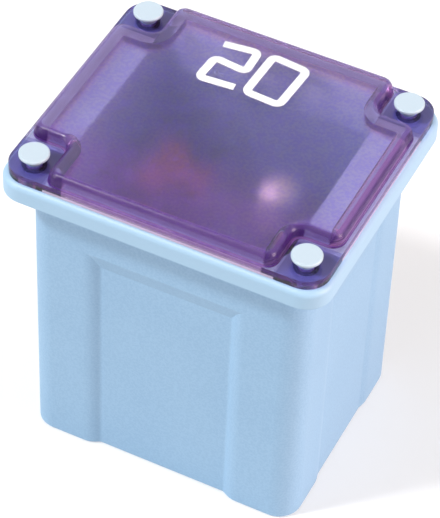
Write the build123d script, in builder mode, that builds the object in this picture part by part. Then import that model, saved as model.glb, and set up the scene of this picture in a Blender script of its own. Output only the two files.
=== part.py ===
from build123d import *
import os

# Low profile cartridge fuse. Millimetres, +Z up, X along the longer side, front towards -Y.
# The origin is the middle of the underside.

# Housing: walls, floor and flange
end_wall = 1.25
side_wall = 0.95
body_corner = 1.1
base_edge_chamfer = 0.1
flange_overhang = 1.01
flange_thickness = 0.91
flange_corner = 1.2
flange_edge_round = 0.28
floor_thickness = 1.2
cavity_corner = 0.6
mouth_flare = 0.75
mouth_height = 1.5
web_thickness = 1.2
web_margin = 0.2
headroom = 1.97

# Sunk panels in the four side walls, open at the bottom edge
panel_flank = 0.45
panel_top_slope = 0.82
panel_margin = 2.69
panel_lip_round = 1.0
panel_crease_round = 0.3
front_panel_width = 6.3
front_panel_depth = 0.26
side_panel_width = 4.5
side_panel_depth = 0.11

# Window cover, carried just clear of the flange by a low pad round each post
cover_inset = 0.21
cover_corner = 1.1
cover_gap = 0.03
cover_plate = 0.45
cover_rise = 0.64
cover_roof = 0.58
cover_wall = 0.7
cover_taper = 14
cover_edge_round = 0.38
raised_end_inset = 0.15
notch_length = 2.08
notch_depth = 2.27
notch_round = 0.4
arm_round = 0.6
pad_radius = 0.55

# Staked posts, with heads that taper in towards the cover
post_edge_distance = 1.31
post_radius = 0.36
post_clearance = 0.05
head_radius = 0.67
head_taper = 0.37
head_rim = 0.13
head_edge = 0.05

# Fuse element: one stamped and folded strip
sheet = 0.4
blade_pitch = 8.48
blade_gap = 0.7
blade_width = 6.3
blade_side_clearance = 0.15
socket_height = 7.6
shoulder_width = 5.2
shoulder_height = 1.2
link_width = 3.2
link_rise = 3.18
link_bend = 0.9
neck_width = 1.3
neck_radius = 0.9
neck_place = -1.5

# Spring clips round the sockets
clip_sheet = 0.25
clip_end_clearance = 0.15
clip_side_clearance = 0.595
clip_height = 4.6
clip_lift = 1.4
clip_mouth = 2.4

# Tin pellet riveted through the link
pellet_shank = 0.5
pellet_head = 0.95
pellet_side = 1.1
pellet_dome = 0.5
pellet_margin = 0.2
pellet_foot = 0.35

# Blade slots in the floor
slot_thickness = 1.3
slot_clearance = 0.3
slot_lead_in = 0.35

# Each socket has its blade between its back plate and the two curls facing it.
blade_place = blade_pitch / 2
terminal_back = blade_place + blade_gap / 2 + sheet
curl_radius = sheet + blade_gap
curl_place = blade_width / 2 + blade_side_clearance + sheet - curl_radius
socket_top = floor_thickness + socket_height
link_height = socket_top + shoulder_height + link_rise
link_flat_end = terminal_back - sheet / 2 - link_bend
pellet_place = link_flat_end - pellet_margin - pellet_head

# The cavity is cut to the clips, and the walls stand round the cavity.
cavity_length = 2 * (terminal_back + clip_sheet + clip_end_clearance)
cavity_depth = 2 * (curl_place + curl_radius + clip_sheet + clip_side_clearance)
body_length = cavity_length + 2 * end_wall
body_depth = cavity_depth + 2 * side_wall
body_height = link_height + headroom
panel_top = body_height - panel_margin

flange_length = body_length + 2 * flange_overhang
flange_depth = body_depth + 2 * flange_overhang
flange_top = body_height + flange_thickness
cover_length = flange_length - 2 * cover_inset
cover_depth = flange_depth - 2 * cover_inset
cover_base = flange_top + cover_gap
cover_step = cover_base + cover_plate
post_pitch_x = flange_length - 2 * post_edge_distance
post_pitch_y = flange_depth - 2 * post_edge_distance

# Outline of the cover's raised part: a rectangle with its four corners notched out.
with BuildSketch() as raised_outline:
    Rectangle(cover_length - 2 * raised_end_inset, cover_depth)
    with GridLocations(cover_length, cover_depth, 2, 2):
        Rectangle(2 * notch_length, 2 * notch_depth, mode=Mode.SUBTRACT)
    corners = raised_outline.vertices().sort_by(lambda corner: abs(corner.X) + abs(corner.Y))
    fillet(corners[:4], notch_round)
    corners = raised_outline.vertices().sort_by(lambda corner: abs(corner.X) + abs(corner.Y))
    fillet(corners[-8:], arm_round)

with BuildPart() as housing:
    # Body with rounded upright corners, and the flange round its top.
    with BuildSketch():
        RectangleRounded(body_length, body_depth, body_corner)
    extrude(amount=body_height)

    # Sunk panels, front and back, then left and right.
    for wall_plane, wall_axis, along_axis, half_span, panel_width, panel_depth in (
        (Plane.XZ, Axis.Y, Axis.X, body_depth / 2, front_panel_width, front_panel_depth),
        (Plane.YZ, Axis.X, Axis.Y, body_length / 2, side_panel_width, side_panel_depth),
    ):
        panel_reach = panel_width / 2 + 2 * panel_flank
        for side in (1, -1):
            with BuildSketch(wall_plane.offset(side * half_span)):
                Rectangle(panel_width + 2 * panel_flank, 2 * panel_top)
            with BuildSketch(wall_plane.offset(side * (half_span - panel_depth))):
                Rectangle(panel_width, 2 * (panel_top - panel_top_slope))
            loft(mode=Mode.SUBTRACT)
        bends = housing.edges().filter_by(Axis.Z).filter_by_position(along_axis, -panel_reach, panel_reach)
        creases = bends.group_by(wall_axis)[1:3]
        fillet(creases[0] + creases[1], panel_crease_round)
        bends = housing.edges().filter_by(Axis.Z).filter_by_position(along_axis, -panel_reach, panel_reach)
        lips = bends.group_by(wall_axis)
        fillet(lips[0] + lips[-1], panel_lip_round)
    chamfer(housing.faces().sort_by(Axis.Z)[0].edges(), base_edge_chamfer)

    with BuildSketch(Plane.XY.offset(body_height)):
        RectangleRounded(flange_length, flange_depth, flange_corner)
    extrude(amount=flange_thickness)
    flange_sides = housing.faces().sort_by(Axis.Z)[-1].edges()
    fillet(flange_sides, flange_edge_round)

    # Cavity, open at the top.
    with BuildSketch(Plane.XY.offset(floor_thickness)):
        RectangleRounded(cavity_length, cavity_depth, cavity_corner)
    extrude(amount=flange_top - floor_thickness, mode=Mode.SUBTRACT)

    # Its mouth flares towards the two long sides.
    with BuildSketch(Plane.XY.offset(flange_top - mouth_height)):
        RectangleRounded(cavity_length, cavity_depth, cavity_corner)
    with BuildSketch(Plane.XY.offset(flange_top)):
        RectangleRounded(cavity_length, cavity_depth + 2 * mouth_flare, cavity_corner)
    loft(mode=Mode.SUBTRACT)

    # Web that keeps the two terminals apart.
    with BuildSketch(Plane.XY.offset(floor_thickness)):
        Rectangle(web_thickness, cavity_depth)
    extrude(amount=socket_height + web_margin)

    # Blade slots with a lead-in.
    with BuildSketch():
        with Locations((blade_place, 0), (-blade_place, 0)):
            Rectangle(slot_thickness, blade_width + 2 * slot_clearance)
    extrude(amount=floor_thickness, mode=Mode.SUBTRACT)
    slot_mouths = housing.faces().sort_by(Axis.Z)[0].inner_wires().edges()
    chamfer(slot_mouths, slot_lead_in)

    # Pads and posts, staked into heads over the cover's corners.
    with BuildSketch(Plane.XY.offset(flange_top)):
        with GridLocations(post_pitch_x, post_pitch_y, 2, 2):
            Circle(pad_radius)
    extrude(amount=cover_gap)
    with BuildSketch(Plane.XY.offset(cover_base)):
        with GridLocations(post_pitch_x, post_pitch_y, 2, 2):
            Circle(post_radius)
    extrude(amount=cover_plate)
    with Locations((0, 0, cover_step)):
        with GridLocations(post_pitch_x, post_pitch_y, 2, 2):
            Cone(post_radius, head_radius, head_taper, align=(Align.CENTER, Align.CENTER, Align.MIN))
    with BuildSketch(Plane.XY.offset(cover_step + head_taper)):
        with GridLocations(post_pitch_x, post_pitch_y, 2, 2):
            Circle(head_radius)
    extrude(amount=head_rim)
    head_rims = housing.faces().sort_by(Axis.Z)[-4:].edges()
    chamfer(head_rims, head_edge)

with BuildPart() as window_cover:
    # Raised part with sloping walls, notched round the posts.
    with BuildSketch(Plane.XY.offset(cover_step)):
        add(raised_outline.sketch)
    extrude(amount=cover_rise)
    raised_sides = window_cover.faces().sort_by(Axis.Z)[1:-1]
    draft(raised_sides, Plane.XY.offset(cover_step), cover_taper)
    fillet(window_cover.faces().sort_by(Axis.Z)[-1].edges(), cover_edge_round)

    # Flat plate below it, with a hole for each post.
    with BuildSketch(Plane.XY.offset(cover_base)):
        RectangleRounded(cover_length, cover_depth, cover_corner)
        with GridLocations(post_pitch_x, post_pitch_y, 2, 2):
            Circle(post_radius + post_clearance, mode=Mode.SUBTRACT)
    extrude(amount=cover_plate)

    # Hollow underneath, leaving an even roof and walls.
    with BuildSketch(Plane.XY.offset(cover_base)):
        add(raised_outline.sketch)
        offset(amount=-cover_wall)
    extrude(amount=cover_plate + cover_rise - cover_roof, mode=Mode.SUBTRACT)

with BuildPart() as fuse_element:
    # Rolled sockets: a back plate whose two edges curl round to grip the blade.
    with BuildSketch(Plane.XY.offset(floor_thickness)):
        with BuildLine():
            Line((terminal_back - sheet / 2, -curl_place), (terminal_back - sheet / 2, curl_place))
            CenterArc((terminal_back - curl_radius, curl_place), curl_radius - sheet / 2, 0, 270)
            CenterArc((terminal_back - curl_radius, -curl_place), curl_radius - sheet / 2, 0, -270)
        trace(line_width=sheet)
        mirror(about=Plane.YZ)
    extrude(amount=socket_height)

    # Shoulder of each back plate above its socket.
    with BuildSketch(Plane.XY.offset(socket_top)):
        with Locations((terminal_back - sheet / 2, 0), (sheet / 2 - terminal_back, 0)):
            Rectangle(sheet, shoulder_width)
    extrude(amount=shoulder_height)

    # Link: up from one shoulder, across and down to the other.
    strip_line = terminal_back - sheet / 2
    strip_top = link_height - sheet / 2
    with BuildSketch(Plane.XZ):
        with BuildLine():
            FilletPolyline(
                (strip_line, socket_top),
                (strip_line, strip_top),
                (-strip_line, strip_top),
                (-strip_line, socket_top),
                radius=link_bend,
            )
        trace(line_width=sheet)
    extrude(amount=link_width / 2, both=True)

    # Narrow neck where the link melts, and the hole for the pellet.
    with BuildSketch(Plane.XY.offset(link_height)):
        with Locations((neck_place, 0)):
            with Locations((0, neck_width / 2 + neck_radius), (0, -neck_width / 2 - neck_radius)):
                Circle(neck_radius)
        with Locations((pellet_place, 0)):
            Circle(pellet_shank)
    extrude(amount=-sheet, mode=Mode.SUBTRACT)


def spring_clip(side):
    """A springy strip bent round the back and the curls of one socket, side 1 or -1 along X."""
    mouth_line = terminal_back - 2 * curl_radius - clip_sheet / 2
    back_line = terminal_back + clip_sheet / 2
    curl_line = terminal_back - curl_radius
    with BuildPart() as clip:
        with BuildSketch(Plane.XY.offset(floor_thickness + clip_lift)):
            with BuildLine():
                Line((back_line, -curl_place), (back_line, curl_place))
                CenterArc((curl_line, curl_place), curl_radius + clip_sheet / 2, 0, 180)
                CenterArc((curl_line, -curl_place), curl_radius + clip_sheet / 2, 0, -180)
                Line((mouth_line, curl_place), (mouth_line, clip_mouth / 2))
                Line((mouth_line, -curl_place), (mouth_line, -clip_mouth / 2))
            trace(line_width=clip_sheet)
            if side < 0:
                mirror(about=Plane.YZ, mode=Mode.REPLACE)
        extrude(amount=clip_height)
    return clip.part


spring_clip_right = spring_clip(1)
spring_clip_left = spring_clip(-1)

with BuildPart() as tin_pellet:
    # Turned rivet: domed head on the link, shank through it and a flat foot below.
    foot_bottom = link_height - sheet - pellet_foot
    dome_base = link_height + pellet_side
    with BuildSketch(Plane.XZ):
        with BuildLine():
            Polyline(
                (pellet_place, foot_bottom),
                (pellet_place + pellet_head, foot_bottom),
                (pellet_place + pellet_head, link_height - sheet),
                (pellet_place + pellet_shank, link_height - sheet),
                (pellet_place + pellet_shank, link_height),
                (pellet_place + pellet_head, link_height),
                (pellet_place + pellet_head, dome_base),
            )
            dome_top = (pellet_place, dome_base + pellet_dome)
            TangentArc(dome_top, (pellet_place + pellet_head, dome_base), tangent=(1, 0))
            Line(dome_top, (pellet_place, foot_bottom))
        make_face()
    revolve(axis=Axis((pellet_place, 0, 0), (0, 0, 1)))

os.makedirs("parts", exist_ok=True)
for label, piece in (
    ("housing", housing.part),
    ("window_cover", window_cover.part),
    ("fuse_element", fuse_element.part),
    ("spring_clip_left", spring_clip_left),
    ("spring_clip_right", spring_clip_right),
    ("tin_pellet", tin_pellet.part),
):
    piece.label = label
    export_step(piece, f"parts/{label}.step")
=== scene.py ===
import bpy
import bmesh
import math
from mathutils import Matrix, Vector


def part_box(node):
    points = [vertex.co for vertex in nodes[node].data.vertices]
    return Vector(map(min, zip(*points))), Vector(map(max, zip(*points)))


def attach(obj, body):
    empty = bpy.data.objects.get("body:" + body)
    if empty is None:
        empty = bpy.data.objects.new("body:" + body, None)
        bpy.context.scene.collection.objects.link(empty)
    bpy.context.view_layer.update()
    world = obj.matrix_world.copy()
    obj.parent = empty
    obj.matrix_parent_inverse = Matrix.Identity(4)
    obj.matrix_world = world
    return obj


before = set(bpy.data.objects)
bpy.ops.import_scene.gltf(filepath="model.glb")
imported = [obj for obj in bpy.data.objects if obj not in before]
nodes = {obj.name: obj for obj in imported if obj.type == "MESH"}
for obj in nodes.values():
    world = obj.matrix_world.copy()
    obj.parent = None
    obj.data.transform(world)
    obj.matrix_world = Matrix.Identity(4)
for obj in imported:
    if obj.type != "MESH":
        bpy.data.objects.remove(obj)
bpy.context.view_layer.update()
mm = 0.001
print("frame loaded:", ", ".join(sorted(nodes)))


# Camera

cameraSettings = {
    "target": (-0.17, 0.55, 8.38),  # mm
    "distance": 121.3,  # mm
    "azimuth": 24.57,
    "elevation": 45.75,
    "roll": 2.6,
    "lens": 187.4,
    "sensor": 36.0,
    "clip": (0.01, 50),  # m
}


def direction(settings):
    # Azimuth runs from the front towards +X, elevation up from the floor.
    turn = math.radians(settings["azimuth"])
    rise = math.radians(settings["elevation"])
    across = math.cos(rise)
    return Vector((math.sin(turn) * across, -math.cos(turn) * across, math.sin(rise)))


def makeCamera(settings):
    back = direction(settings)
    turn = math.radians(settings["azimuth"])
    right = Vector((math.cos(turn), math.sin(turn), 0))
    up = back.cross(right)
    axes = Matrix((right, up, back)).transposed().to_4x4()
    place = (Vector(settings["target"]) + back * settings["distance"]) * mm
    data = bpy.data.cameras.new("camera")
    data.lens = settings["lens"]
    data.sensor_width = settings["sensor"]
    data.clip_start, data.clip_end = settings["clip"]
    camera = bpy.data.objects.new("camera", data)
    roll = Matrix.Rotation(math.radians(settings["roll"]), 4, "Z")
    camera.matrix_world = Matrix.Translation(place) @ axes @ roll
    bpy.context.scene.collection.objects.link(camera)
    bpy.context.scene.camera = camera


makeCamera(cameraSettings)
bpy.context.scene.view_settings.view_transform = "Standard"
print("camera placed")


# Node helpers


def addNode(tree, kind, place=(0, 0), **values):
    node = tree.nodes.new(kind)
    node.location = place
    for name, value in values.items():
        setattr(node, name, value)
    return node


def feed(tree, socket, value):
    # A socket takes another node's output, a number or a colour.
    if isinstance(value, bpy.types.NodeSocket):
        tree.links.new(value, socket)
    else:
        socket.default_value = value


def mathNode(tree, operation, first, second=0.0, clamp=False):
    node = addNode(tree, "ShaderNodeMath", operation=operation, use_clamp=clamp)
    feed(tree, node.inputs[0], first)
    feed(tree, node.inputs[1], second)
    return node.outputs[0]


def plus(tree, first, second, clamp=False):
    return mathNode(tree, "ADD", first, second, clamp)


def times(tree, first, second):
    return mathNode(tree, "MULTIPLY", first, second)


def splitVector(tree, vector):
    node = addNode(tree, "ShaderNodeSeparateXYZ")
    tree.links.new(vector, node.inputs[0])
    return node.outputs


def mixNode(tree, factor, first, second):
    node = addNode(tree, "ShaderNodeMix", data_type="RGBA")
    sockets = {s.identifier: s for s in node.inputs}
    feed(tree, sockets["Factor_Float"], factor)
    feed(tree, sockets["A_Color"], first)
    feed(tree, sockets["B_Color"], second)
    return next(s for s in node.outputs if s.identifier == "Result_Color")


def mixShaders(tree, share, first, second, place):
    node = addNode(tree, "ShaderNodeMixShader", place)
    tree.links.new(share, node.inputs[0])
    tree.links.new(first, node.inputs[1])
    tree.links.new(second, node.inputs[2])
    return node.outputs["Shader"]


def rampNode(tree, factor, low, high, lowValue=0.0, highValue=1.0):
    node = addNode(tree, "ShaderNodeMapRange", interpolation_type="SMOOTHSTEP")
    feed(tree, node.inputs["Value"], factor)
    node.inputs["From Min"].default_value = low
    node.inputs["From Max"].default_value = high
    node.inputs["To Min"].default_value = lowValue
    node.inputs["To Max"].default_value = highValue
    return node.outputs["Result"]


def within(tree, value, low, high, fade):
    # 1 where the value lies between low and high, fading to 0 outside.
    rise = rampNode(tree, value, low - fade, low)
    fall = rampNode(tree, value, high, high + fade, 1.0, 0.0)
    return times(tree, rise, fall)


def noiseNode(tree, vector, scale, detail=2.0, rough=0.5):
    node = addNode(tree, "ShaderNodeTexNoise")
    feed(tree, node.inputs["Vector"], vector)
    feed(tree, node.inputs["Scale"], scale)
    node.inputs["Detail"].default_value = detail
    node.inputs["Roughness"].default_value = rough
    return node.outputs["Fac"]


def paint(red, green, blue):
    # A colour as a paint chart gives it, 0 to 255, made linear.
    def linear(value):
        value /= 255
        return value / 12.92 if value <= 0.04045 else ((value + 0.055) / 1.055) ** 2.4

    return (linear(red), linear(green), linear(blue), 1.0)


def newGroup(name, inputs, outputs):
    group = bpy.data.node_groups.new(name, "ShaderNodeTree")
    for label, kind, value in inputs:
        socket = group.interface.new_socket(label, in_out="INPUT", socket_type=kind)
        if value is not None:
            socket.default_value = value
    for label, kind in outputs:
        group.interface.new_socket(label, in_out="OUTPUT", socket_type=kind)
    start = addNode(group, "NodeGroupInput", (-800, 0))
    end = addNode(group, "NodeGroupOutput", (800, 0))
    return group, start.outputs, end.inputs


def newMaterial(name):
    material = bpy.data.materials.new(name)
    material.use_nodes = True
    tree = material.node_tree
    tree.nodes.clear()
    output = addNode(tree, "ShaderNodeOutputMaterial", (900, 0))
    shader = addNode(tree, "ShaderNodeBsdfPrincipled", (500, 0))
    tree.links.new(shader.outputs["BSDF"], output.inputs["Surface"])
    place = addNode(tree, "ShaderNodeTexCoord", (-900, 0)).outputs["Object"]
    return material, tree, shader, output, place


def addBump(tree, shader, height, distance):
    bump = addNode(tree, "ShaderNodeBump")
    bump.inputs["Distance"].default_value = distance
    feed(tree, bump.inputs["Height"], height)
    tree.links.new(bump.outputs["Normal"], shader.inputs["Normal"])


# Shared effects


def makeMottle():
    # Slow cloudy variation between two colours, with a fine fleck on top.
    group, given, wanted = newGroup(
        "mottle",
        [
            ("Vector", "NodeSocketVector", None),
            ("Cloud Scale", "NodeSocketFloat", 300.0),
            ("Fleck Scale", "NodeSocketFloat", 3000.0),
            ("Fleck", "NodeSocketFloat", 0.3),
            ("Light", "NodeSocketColor", (0.8, 0.8, 0.8, 1)),
            ("Dark", "NodeSocketColor", (0.6, 0.6, 0.6, 1)),
        ],
        [("Color", "NodeSocketColor"), ("Mask", "NodeSocketFloat")],
    )
    low, high = 0.35, 0.65  # a noise's usual span
    cloud = noiseNode(group, given["Vector"], given["Cloud Scale"], 3.0)
    cloud = rampNode(group, cloud, low, high)
    fleck = noiseNode(group, given["Vector"], given["Fleck Scale"], 1.0)
    fleck = rampNode(group, fleck, low, high)
    mask = times(group, mathNode(group, "SUBTRACT", fleck, cloud), given["Fleck"])
    mask = plus(group, cloud, mask, clamp=True)
    group.links.new(mask, wanted["Mask"])
    group.links.new(mixNode(group, mask, given["Dark"], given["Light"]), wanted["Color"])
    return group


def makeGrain():
    # Fine skin of a moulded or rolled surface: a height and a matching change of gloss.
    group, given, wanted = newGroup(
        "surfaceGrain",
        [
            ("Vector", "NodeSocketVector", None),
            ("Scale", "NodeSocketFloat", 5000.0),
            ("Rough Low", "NodeSocketFloat", 0.4),
            ("Rough High", "NodeSocketFloat", 0.5),
        ],
        [("Height", "NodeSocketFloat"), ("Roughness", "NodeSocketFloat")],
    )
    swell = 350.0  # per metre, scale of the slow waves under the grain
    fine = noiseNode(group, given["Vector"], given["Scale"], 2.0, 0.6)
    wave = noiseNode(group, given["Vector"], swell, 1.0)
    group.links.new(plus(group, fine, wave), wanted["Height"])
    spread = mathNode(group, "SUBTRACT", given["Rough High"], given["Rough Low"])
    gloss = plus(group, given["Rough Low"], times(group, fine, spread))
    group.links.new(gloss, wanted["Roughness"])
    return group


mottle = makeMottle()
surfaceGrain = makeGrain()


def placeMottle(tree, place, settings, colours):
    # Mottled colour of one material.
    node = addNode(tree, "ShaderNodeGroup", node_tree=mottle)
    feed(tree, node.inputs["Vector"], place)
    node.inputs["Cloud Scale"].default_value = settings["cloudScale"]
    node.inputs["Fleck Scale"].default_value = settings["fleckScale"]
    node.inputs["Fleck"].default_value = settings["fleck"]
    node.inputs["Light"].default_value = colours["light"]
    node.inputs["Dark"].default_value = colours["dark"]
    return node.outputs


def placeGrain(tree, shader, place, settings):
    # Roughness and bump of one material.
    node = addNode(tree, "ShaderNodeGroup", node_tree=surfaceGrain)
    feed(tree, node.inputs["Vector"], place)
    node.inputs["Scale"].default_value = settings["grainScale"]
    node.inputs["Rough Low"].default_value = settings["roughLow"]
    node.inputs["Rough High"].default_value = settings["roughHigh"]
    tree.links.new(node.outputs["Roughness"], shader.inputs["Roughness"])
    addBump(tree, shader, node.outputs["Height"], settings["grainDepth"] * mm)


# Housing: pale blue moulded plastic, with painted light making the flange and the post heads
# paler

housingSettings = {
    "light": paint(153, 192, 224),
    "dark": paint(143, 183, 217),
    "flangeLight": paint(168, 204, 231),  # painted light on the flange, standing in for light let through the thin plastic and caught from above
    "flangeLightFrom": 15.12,  # mm above the floor
    "flangeLightFade": 0.1,  # mm
    "headHighlight": paint(194, 213, 226),  # painted highlight on the tops of the post heads
    "headHighlightFrom": 16.54,  # mm above the floor
    "headHighlightFade": 0.12,  # mm
    "cloudScale": 260,
    "fleckScale": 11000,
    "fleck": 0.75,
    "grainScale": 9000,
    "grainDepth": 0.006,  # mm
    "roughLow": 0.44,
    "roughHigh": 0.54,
    "gloss": 0.95,
}


def makeHousingPlastic(settings):
    material, tree, shader, output, place = newMaterial("paleBluePlastic")
    skin = placeMottle(tree, place, settings, settings)
    height = splitVector(tree, place)["Z"]
    colour = skin["Color"]
    # Painted light by height: the flange and the tops of the post heads are made paler.
    for part in ("flangeLight", "headHighlight"):
        low = settings[part + "From"] * mm
        above = rampNode(tree, height, low, low + settings[part + "Fade"] * mm)
        colour = mixNode(tree, above, colour, settings[part])
    tree.links.new(colour, shader.inputs["Base Color"])
    shader.inputs["Specular IOR Level"].default_value = settings["gloss"]
    placeGrain(tree, shader, place, settings)
    return material


# Cover: clear violet plastic, coloured through its depth

coverSettings = {
    "tint": (0.55, 0.32, 0.58, 1),
    "density": 1000,  # per metre
    "lampTint": (0.74, 0.62, 0.61, 1),
    "refraction": 1.5,
    "polished": 0.03,
    "frosted": 0.32,
    "matt": 0.2,
    "roofUnder": 16.6,  # mm above the floor, the frosted underside of the roof
    "mattFrom": 16.3,  # mm above the floor, where the sides turn matt
    "fade": 0.02,  # mm
    "sideLean": 0.93,  # a surface that leans up less than this is a side
    "flatLean": 0.995,  # and one that leans up more is flat
    "cloudScale": 1400,
    "fleckScale": 6500,
    "fleck": 0.6,
    "waveScale": 260,
    "waveDepth": 0.0012,  # mm
}
cornerSettings = {
    "place": {"X": 5.36, "Y": 4.03},  # mm
    "top": 16.55,  # mm above the floor
    "tint": (0.46, 0.42, 0.64, 1),
    "lampTint": (0.57, 0.49, 0.66, 1),
}
# Veils on the cover's surfaces, colour and share of the surface: diffuse scatter of the frosted
# underside, painted light towards the front, painted shade on the raised walls and a painted
# highlight along their foot
veilSettings = {
    "under": {
        "light": paint(118, 112, 236), "dark": paint(92, 100, 218),
        "low": 0.13, "high": 0.31,
    },
    # Painted light: the underside's veil grows stronger and lighter towards the front.
    "front": {"colour": paint(150, 116, 228), "share": 0.13, "from": -1.6, "to": -4.4},  # mm
    # Painted shade: a dark violet veil on the raised walls, standing in for the dark bands along
    # their edges.
    "side": {"colour": paint(92, 46, 150), "share": 0.34},
    # Painted highlight: a pale line along the foot of the cover's walls, off the corners.
    "foot": {"colour": paint(242, 224, 252), "share": 0.56, "top": 16.2, "fade": 0.06},  # mm
}


def coverMasks(tree, place, settings, corners, veils):
    # Where the roof's underside, the walls, their parts and the corners are: 1 there, else 0.
    spot = splitVector(tree, place)
    lean = splitVector(tree, place.node.outputs["Normal"])["Z"]
    fade = settings["fade"] * mm
    masks = {}
    roofUnder = settings["roofUnder"] * mm
    masks["under"] = within(tree, spot["Z"], roofUnder - fade, roofUnder + fade, fade)
    lean = mathNode(tree, "ABSOLUTE", lean)
    wall = rampNode(tree, lean, settings["sideLean"], settings["flatLean"], 1.0, 0.0)
    low = settings["mattFrom"] * mm
    masks["side"] = times(tree, wall, rampNode(tree, spot["Z"], low, low + fade))
    corner = within(tree, spot["Z"], 0.0, corners["top"] * mm, fade)
    for axis, start in corners["place"].items():
        reach = mathNode(tree, "ABSOLUTE", spot[axis])
        corner = times(tree, corner, rampNode(tree, reach, start * mm, start * mm + fade))
    masks["corner"] = corner
    # Where the painted light grows: towards the front of the underside.
    front = veils["front"]
    masks["front"] = rampNode(tree, spot["Y"], front["to"] * mm, front["from"] * mm, 1.0, 0.0)
    # Where the painted highlight lies: the lower part of the walls, off the corners.
    foot = veils["foot"]
    low = within(tree, spot["Z"], 0.0, foot["top"] * mm, foot["fade"] * mm)
    masks["foot"] = times(tree, times(tree, low, wall), mathNode(tree, "SUBTRACT", 1.0, corner))
    return masks


def veilOver(tree, shader, place, masks, settings, veils):
    # Lays a diffuse veil over the glass: scatter on the frosted underside, painted light towards
    # the front, painted shade on the raised walls and a painted highlight along their foot.
    under = veils["under"]
    skin = placeMottle(tree, place, settings, under)
    colour = mixNode(tree, masks["front"], skin["Color"], veils["front"]["colour"])
    # Painted shade on the raised walls, and a painted highlight along their foot.
    colour = mixNode(tree, masks["side"], colour, veils["side"]["colour"])
    colour = mixNode(tree, masks["foot"], colour, veils["foot"]["colour"])
    share = rampNode(tree, skin["Mask"], 0.0, 1.0, under["low"], under["high"])
    share = plus(tree, share, times(tree, masks["front"], veils["front"]["share"]))
    share = times(tree, share, masks["under"])
    for part in ("side", "foot"):
        share = plus(tree, share, times(tree, masks[part], veils[part]["share"]))
    veil = addNode(tree, "ShaderNodeBsdfDiffuse", (500, -200))
    tree.links.new(colour, veil.inputs["Color"])
    return mixShaders(tree, share, shader.outputs["BSDF"], veil.outputs["BSDF"], (600, 0))


def makeCoverPlastic(settings, corners, veils):
    material, tree, shader, output, place = newMaterial("clearVioletPlastic")
    shader.inputs["Transmission Weight"].default_value = 1.0
    shader.inputs["IOR"].default_value = settings["refraction"]
    wave = noiseNode(tree, place, settings["waveScale"], 2.0)
    addBump(tree, shader, wave, settings["waveDepth"] * mm)
    masks = coverMasks(tree, place, settings, corners, veils)
    # The roof is polished on top and finely frosted underneath, and the sides are matt.
    polished = settings["polished"]
    gloss = times(tree, masks["under"], settings["frosted"] - polished)
    gloss = plus(tree, gloss, times(tree, masks["side"], settings["matt"] - polished))
    tree.links.new(plus(tree, gloss, polished), shader.inputs["Roughness"])
    # The flat corners are deeper in colour.
    colour = mixNode(tree, masks["corner"], (1, 1, 1, 1), corners["tint"])
    tree.links.new(colour, shader.inputs["Base Color"])
    veiled = veilOver(tree, shader, place, masks, settings, veils)
    # Lamp rays pass straight through, so that what lies under the cover is lit.
    rays = addNode(tree, "ShaderNodeLightPath", (500, 300))
    clear = addNode(tree, "ShaderNodeBsdfTransparent", (500, -400))
    shade = mixNode(tree, masks["corner"], settings["lampTint"], corners["lampTint"])
    tree.links.new(shade, clear.inputs["Color"])
    lampSide = rays.outputs["Is Shadow Ray"]
    surface = mixShaders(tree, lampSide, veiled, clear.outputs["BSDF"], (700, 0))
    tree.links.new(surface, output.inputs["Surface"])
    depth = addNode(tree, "ShaderNodeVolumeAbsorption", (500, -600))
    depth.inputs["Color"].default_value = settings["tint"]
    depth.inputs["Density"].default_value = settings["density"]
    tree.links.new(depth.outputs["Volume"], output.inputs["Volume"])
    return material


# Metals: the folded strip, the clips and the tin pellet

platingSettings = {
    "light": paint(132, 134, 150),
    "dark": paint(98, 100, 118),
    "bareMiddle": -2.1,  # mm along X, the strip's unplated stretch
    "bareHalf": 1.25,  # mm
    "bareFade": 0.5,  # mm
    "edgeScale": 700,
    "edgeWander": 1.6,  # mm
}
metalSettings = {
    "copperAlloy": {
        "light": paint(196, 118, 96), "dark": paint(150, 84, 70),
        "cloudScale": 700, "fleckScale": 5000, "fleck": 0.35,
        "grainScale": 9000, "grainDepth": 0.003, "roughLow": 0.3, "roughHigh": 0.48,
        "stretch": (1, 1, 0.12),
    },
    "springSteel": {
        "light": paint(188, 189, 192), "dark": paint(150, 152, 158),
        "cloudScale": 900, "fleckScale": 6000, "fleck": 0.4,
        "grainScale": 9000, "grainDepth": 0.002, "roughLow": 0.25, "roughHigh": 0.4,
        "stretch": (0.15, 0.15, 1),
    },
    "tin": {
        "light": paint(244, 243, 240), "dark": paint(226, 225, 224),
        "cloudScale": 1500, "fleckScale": 7000, "fleck": 0.4,
        "grainScale": 6000, "grainDepth": 0.006, "roughLow": 0.35, "roughHigh": 0.55,
        "stretch": (1, 1, 1),
    },
}


def makeMetal(name, settings):
    material, tree, shader, output, place = newMaterial(name)
    shader.inputs["Metallic"].default_value = 1.0
    drawn = addNode(tree, "ShaderNodeMapping")
    drawn.inputs["Scale"].default_value = settings["stretch"]
    tree.links.new(place, drawn.inputs["Vector"])
    skin = placeMottle(tree, place, settings, settings)
    tree.links.new(skin["Color"], shader.inputs["Base Color"])
    placeGrain(tree, shader, drawn.outputs["Vector"], settings)
    return material


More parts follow.
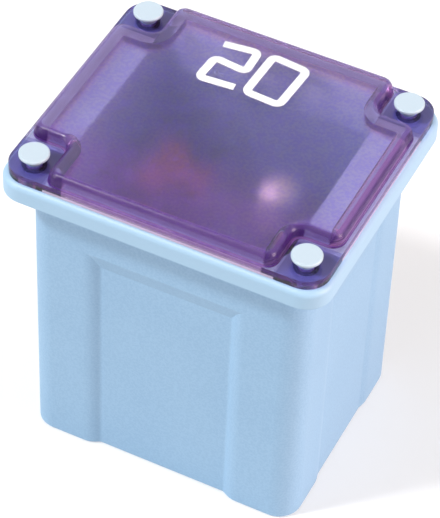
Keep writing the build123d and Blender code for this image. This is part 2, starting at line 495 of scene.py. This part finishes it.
def plateStrip(material, settings):
    # Grey plating over the strip, left off a stretch of the link on one side of the neck.
    tree = material.node_tree
    shader = next(node for node in tree.nodes if node.type == "BSDF_PRINCIPLED")
    bare = shader.inputs["Base Color"].links[0].from_socket
    place = next(node for node in tree.nodes if node.type == "TEX_COORD").outputs["Object"]
    wander = mathNode(tree, "SUBTRACT", noiseNode(tree, place, settings["edgeScale"], 2.0), 0.5)
    wander = times(tree, wander, settings["edgeWander"] * mm)
    along = splitVector(tree, place)["X"]
    away = mathNode(tree, "SUBTRACT", along, settings["bareMiddle"] * mm)
    away = plus(tree, mathNode(tree, "ABSOLUTE", away), wander)
    half = settings["bareHalf"] * mm
    plated = rampNode(tree, away, half, half + settings["bareFade"] * mm)
    cloud = noiseNode(tree, place, settings["edgeScale"], 3.0)
    plating = mixNode(tree, cloud, settings["dark"], settings["light"])
    tree.links.new(mixNode(tree, plated, bare, plating), shader.inputs["Base Color"])


# Ink of the figures

inkSettings = {
    "light": paint(250, 251, 251),
    "dark": paint(240, 244, 246),
    "cloudScale": 900,
    "fleckScale": 9000,
    "fleck": 0.4,
    "grainScale": 7000,
    "grainDepth": 0.003,
    "roughLow": 0.35,
    "roughHigh": 0.5,
}


def makeInk(settings):
    material, tree, shader, output, place = newMaterial("whiteInk")
    skin = placeMottle(tree, place, settings, settings)
    tree.links.new(skin["Color"], shader.inputs["Base Color"])
    placeGrain(tree, shader, place, settings)
    return material


def dress(nodeName, material):
    mesh = nodes[nodeName].data
    if not mesh.materials:
        mesh.materials.append(material)
    for place in range(len(mesh.materials)):
        mesh.materials[place] = material


copperAlloy = makeMetal("copperAlloy", metalSettings["copperAlloy"])
springSteel = makeMetal("springSteel", metalSettings["springSteel"])
dress("housing", makeHousingPlastic(housingSettings))
dress("window_cover", makeCoverPlastic(coverSettings, cornerSettings, veilSettings))
plateStrip(copperAlloy, platingSettings)
dress("fuse_element", copperAlloy)
dress("spring_clip_left", springSteel)
dress("spring_clip_right", springSteel)
dress("tin_pellet", makeMetal("tin", metalSettings["tin"]))
print("materials ready")


# Figures printed on the cover: the fuse's value

figureSettings = {
    "stroke": 0.39,  # mm, width of the printed line
    "bend": 0.26,  # mm, rounding of the line's corners
    "bendSteps": 5,
    "sunk": 0.03,  # mm below the cover's top
    "proud": 0.006,  # mm above it
    "two": (
        (-2.31, 4.62), (-0.72, 4.82), (-0.68, 3.44),
        (-2.24, 3.62), (-2.33, 2.18), (-0.66, 2.31),
    ),
    "zero": ((-0.02, 4.88), (1.68, 4.71), (1.52, 2.19), (-0.12, 2.29)),
}


def makeFigure(name, points, closed, settings, top):
    mesh = bmesh.new()
    corners = [mesh.verts.new((x * mm, y * mm, top - settings["sunk"] * mm)) for x, y in points]
    ends = corners[1:] + (corners[:1] if closed else [])
    for start, end in zip(corners, ends):
        mesh.edges.new((start, end))
    inner = corners if closed else corners[1:-1]
    bmesh.ops.bevel(
        mesh, geom=inner, offset=settings["bend"] * mm, segments=settings["bendSteps"],
        profile=0.5, material=-1, affect="VERTICES",
    )
    raised = bmesh.ops.extrude_edge_only(mesh, edges=mesh.edges[:])["geom"]
    raised = [part for part in raised if isinstance(part, bmesh.types.BMVert)]
    lift = Vector((0, 0, (settings["sunk"] + settings["proud"]) * mm))
    bmesh.ops.translate(mesh, verts=raised, vec=lift)
    bmesh.ops.recalc_face_normals(mesh, faces=mesh.faces[:])
    data = bpy.data.meshes.new(name)
    mesh.to_mesh(data)
    mesh.free()
    figure = bpy.data.objects.new(name, data)
    bpy.context.scene.collection.objects.link(figure)
    wall = figure.modifiers.new("stroke", "SOLIDIFY")
    wall.thickness = settings["stroke"] * mm
    wall.offset = 0
    wall.use_even_offset = True
    return figure


ink = makeInk(inkSettings)
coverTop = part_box("window_cover")[1].z
for name, closed in (("two", False), ("zero", True)):
    figure = makeFigure("figure_" + name, figureSettings[name], closed, figureSettings, coverTop)
    figure.data.materials.append(ink)
    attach(figure, "root")
print("figures printed")


# Floor and light

stageSettings = {
    "floorSize": 4.0,  # m
    "floorCells": 8,
    "floorColour": (0.65, 0.65, 0.65, 1),
    "floorRough": 0.9,
    "floorGlow": 0.38,  # how much the floor shines for the camera
    "ambient": 0.38,  # how much the sky lights the part
    "background": 1.0,  # how bright the sky looks
}
sunSettings = {
    "key": {
        "strength": 1.9, "azimuth": -50, "elevation": 52, "spread": 8,
        "colour": (1.0, 1.0, 1.0),
    },
    "left": {
        "strength": 0.65, "azimuth": -50, "elevation": 20, "spread": 25,
        "colour": (1.0, 1.0, 1.0),
    },
    "right": {
        "strength": 2.65, "azimuth": 98, "elevation": 20, "spread": 35,
        "colour": (1.0, 0.81, 0.77),
    },
    "top": {
        "strength": 0.2, "azimuth": 160, "elevation": 80, "spread": 30,
        "colour": (1.0, 1.0, 1.0),
    },
}


def cameraSide(tree):
    # 1 for rays from the camera, straight, through the cover or mirrored, else 0.
    rays = addNode(tree, "ShaderNodeLightPath").outputs
    seen = mathNode(tree, "MAXIMUM", rays["Is Camera Ray"], rays["Is Transmission Ray"])
    return mathNode(tree, "MAXIMUM", seen, rays["Is Glossy Ray"])


def makeFloor(settings):
    mesh = bmesh.new()
    cells = settings["floorCells"]
    bmesh.ops.create_grid(
        mesh, x_segments=cells, y_segments=cells, size=settings["floorSize"] / 2
    )
    data = bpy.data.meshes.new("floor")
    mesh.to_mesh(data)
    mesh.free()
    floor = bpy.data.objects.new("floor", data)
    bpy.context.scene.collection.objects.link(floor)
    material, tree, shader, output, place = newMaterial("paleFloor")
    shader.inputs["Base Color"].default_value = settings["floorColour"]
    shader.inputs["Roughness"].default_value = settings["floorRough"]
    shader.inputs["Specular IOR Level"].default_value = 0.0
    shader.inputs["Emission Color"].default_value = (1, 1, 1, 1)
    glow = times(tree, cameraSide(tree), settings["floorGlow"])
    tree.links.new(glow, shader.inputs["Emission Strength"])
    floor.data.materials.append(material)


def makeWorld(settings):
    world = bpy.data.worlds.new("studio")
    bpy.context.scene.world = world
    world.use_nodes = True
    tree = world.node_tree
    tree.nodes.clear()
    output = addNode(tree, "ShaderNodeOutputWorld", (400, 0))
    sky = addNode(tree, "ShaderNodeBackground", (100, 0))
    sky.inputs["Color"].default_value = (1, 1, 1, 1)
    ambient = settings["ambient"]
    lift = times(tree, cameraSide(tree), settings["background"] - ambient)
    tree.links.new(plus(tree, lift, ambient), sky.inputs["Strength"])
    tree.links.new(sky.outputs["Background"], output.inputs["Surface"])


def makeSun(name, settings):
    data = bpy.data.lights.new(name, "SUN")
    data.energy = settings["strength"]
    data.angle = math.radians(settings["spread"])
    data.color = settings["colour"]
    sun = bpy.data.objects.new(name, data)
    towards = direction(settings)
    aim = towards.to_track_quat("Z", "Y").to_matrix().to_4x4()
    sun.matrix_world = Matrix.Translation(towards) @ aim
    bpy.context.scene.collection.objects.link(sun)


makeFloor(stageSettings)
makeWorld(stageSettings)
for name, settings in sunSettings.items():
    makeSun(name, settings)
print("stage lit")
